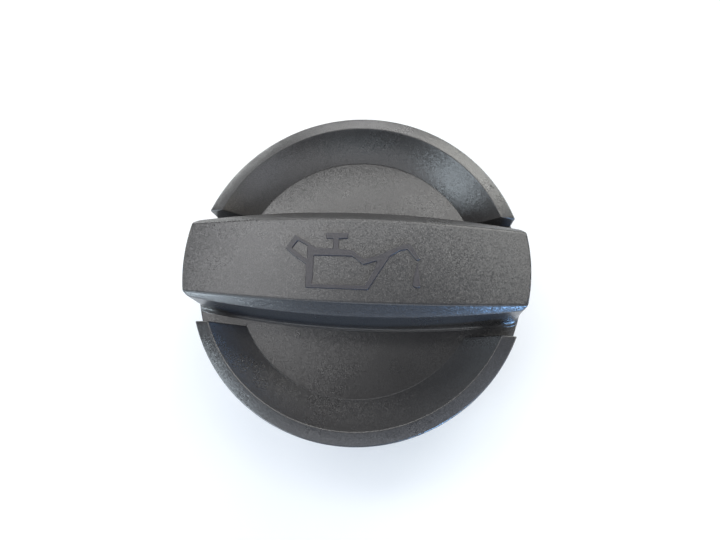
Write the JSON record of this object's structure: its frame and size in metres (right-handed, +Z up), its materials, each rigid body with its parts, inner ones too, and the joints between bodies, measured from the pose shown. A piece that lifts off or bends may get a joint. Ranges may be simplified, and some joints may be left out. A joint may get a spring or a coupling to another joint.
{
  "type": "oil filler cap",
  "caption": "Round screw-down oil filler cap with a grip bar across a dished ring, a bayonet plug below and a rubber seal ring.",
  "frame": {"origin": "middle of the plug's lower end, on the surface that the cap stands on", "axes": "+Z up along the axis of the cap, +X along the grip bar, so the picture looks along +Y from above the front"},
  "size_m": [0.072, 0.072, 0.0372],
  "materials": {
    "head_plastic": "fine moulded grain, charcoal",
    "plug_plastic": "smooth moulded, black",
    "seal_rubber": "matt rubber, black"
  },
  "bodies": {
    "root": {"cap_head": "head_plastic", "bayonet_plug": "plug_plastic", "seal_ring": "seal_rubber"}
  },
  "joints": []
}
